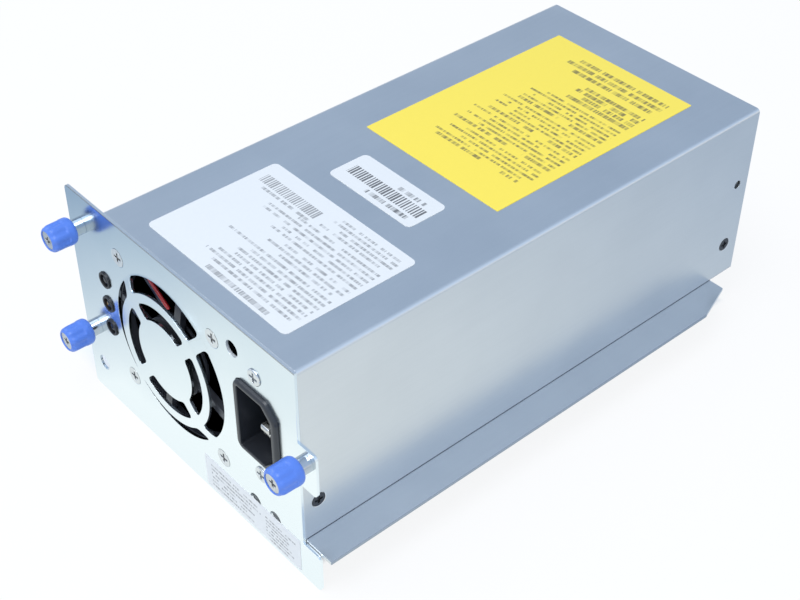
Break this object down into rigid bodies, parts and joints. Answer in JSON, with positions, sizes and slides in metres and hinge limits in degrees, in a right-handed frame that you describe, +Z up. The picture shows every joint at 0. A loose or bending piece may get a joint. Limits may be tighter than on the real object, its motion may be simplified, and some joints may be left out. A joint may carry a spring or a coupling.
{
  "type": "hot swap server power supply",
  "caption": "Slide-in steel-cased power supply with a pressed fan guard, mains inlet, status lamps, captive thumbscrews and a side guide wing.",
  "frame": {"origin": "middle of the case's underside", "axes": "+X to the right seen from the front plate, +Y from the front plate to the rear, +Z up"},
  "size_m": [0.1293, 0.2187, 0.0847],
  "materials": {
    "galvanised_steel": "satin zinc coat",
    "zinc_plate": "bright zinc plating",
    "zinc_screw": "plated fastener",
    "dark_screw": "black oxide fastener",
    "black_moulding": "moulded, satin",
    "blue_knob": "moulded, satin",
    "nickel": "nickel plated",
    "spring_steel": "drawn wire",
    "lamp": "clear epoxy lamp",
    "red_lead": "insulated lead",
    "black_lead": "insulated lead",
    "grommet": "soft rubber",
    "board": "glass fibre board",
    "white_plug": "moulded",
    "insulator": "sheet",
    "can": "sleeved can",
    "film": "boxed",
    "ferrite": "sintered",
    "copper": "enamelled copper",
    "aluminium": "extruded",
    "package": "epoxy package",
    "bearing_bronze": "sintered bronze",
    "yellow_paper": "printed film",
    "white_paper": "printed film"
  },
  "bodies": {
    "chassis": {"front_plate": "zinc_plate", "top_cover": "galvanised_steel", "base_tray": "galvanised_steel", "cover_screws": "dark_screw", "fan_frame": "black_moulding", "fan_bearing": "bearing_bronze", "fan_stator": "copper", "fan_screws": "zinc_screw", "fan_lead_red": "red_lead", "fan_lead_black": "black_lead", "fan_plug": "white_plug", "inlet_body": "black_moulding", "inlet_pins": "nickel", "inlet_screws": "zinc_screw", "inlet_leads": "black_lead", "led_holder": "black_moulding", "status_leds": "lamp", "led_board": "board", "led_grommet": "grommet", "led_leads": "black_lead", "led_plug": "white_plug", "circuit_board": "board", "board_standoffs": "nickel", "board_screws": "zinc_screw", "board_insulator": "insulator", "bulk_capacitor": "can", "film_capacitor": "film", "choke_core": "ferrite", "choke_windings": "copper", "primary_heatsink": "aluminium", "primary_transistors": "package", "transformer_core": "ferrite", "transformer_winding": "copper", "output_inductor": "copper", "secondary_heatsink": "aluminium", "output_rectifiers": "package", "output_capacitors": "can", "rear_connector": "black_moulding", "rear_contacts": "nickel", "connector_screws": "zinc_screw", "bus_bars": "copper", "yellow_label": "yellow_paper", "serial_label": "white_paper", "rating_label": "white_paper", "front_label": "white_paper", "ferrule_upper_left": "nickel", "ferrule_lower_left": "nickel", "ferrule_right": "nickel"},
    "fan_wheel": {"fan_rotor": "black_moulding", "fan_shaft": "zinc_screw"},
    "thumb_spring_upper_left": {"spring_upper_left": "spring_steel"},
    "thumbscrew_upper_left": {"knob_upper_left": "blue_knob", "screw_upper_left": "zinc_screw"},
    "thumb_spring_lower_left": {"spring_lower_left": "spring_steel"},
    "thumbscrew_lower_left": {"knob_lower_left": "blue_knob", "screw_lower_left": "zinc_screw"},
    "thumb_spring_right": {"spring_right": "spring_steel"},
    "thumbscrew_right": {"knob_right": "blue_knob", "screw_right": "zinc_screw"}
  },
  "joints": [
    {"name": "fan_spin", "type": "hinge", "parent": "chassis", "child": "fan_wheel", "pos_m": [-0.0163, -0.0874, 0.0316], "axis": [0, 1, 0], "continuous": true},
    {"name": "push_upper_left", "type": "slide", "parent": "chassis", "child": "thumb_spring_upper_left", "axis": [0, 1, 0], "range_m": [0, 0.0033], "stiffness_N_per_m": 160, "springref_m": -0.002, "deforming": ["spring_upper_left"]},
    {"name": "turn_upper_left", "type": "hinge", "parent": "thumb_spring_upper_left", "child": "thumbscrew_upper_left", "pos_m": [-0.0614, -0.1046, 0.058], "axis": [0, 1, 0], "continuous": true},
    {"name": "push_lower_left", "type": "slide", "parent": "chassis", "child": "thumb_spring_lower_left", "axis": [0, 1, 0], "range_m": [0, 0.0033], "stiffness_N_per_m": 160, "springref_m": -0.002, "deforming": ["spring_lower_left"]},
    {"name": "turn_lower_left", "type": "hinge", "parent": "thumb_spring_lower_left", "child": "thumbscrew_lower_left", "pos_m": [-0.0614, -0.1046, 0.0158], "axis": [0, 1, 0], "continuous": true},
    {"name": "push_right", "type": "slide", "parent": "chassis", "child": "thumb_spring_right", "axis": [0, 1, 0], "range_m": [0, 0.0033], "stiffness_N_per_m": 160, "springref_m": -0.002, "deforming": ["spring_right"]},
    {"name": "turn_right", "type": "hinge", "parent": "thumb_spring_right", "child": "thumbscrew_right", "pos_m": [0.0525, -0.1046, 0.0392], "axis": [0, 1, 0], "continuous": true}
  ]
}
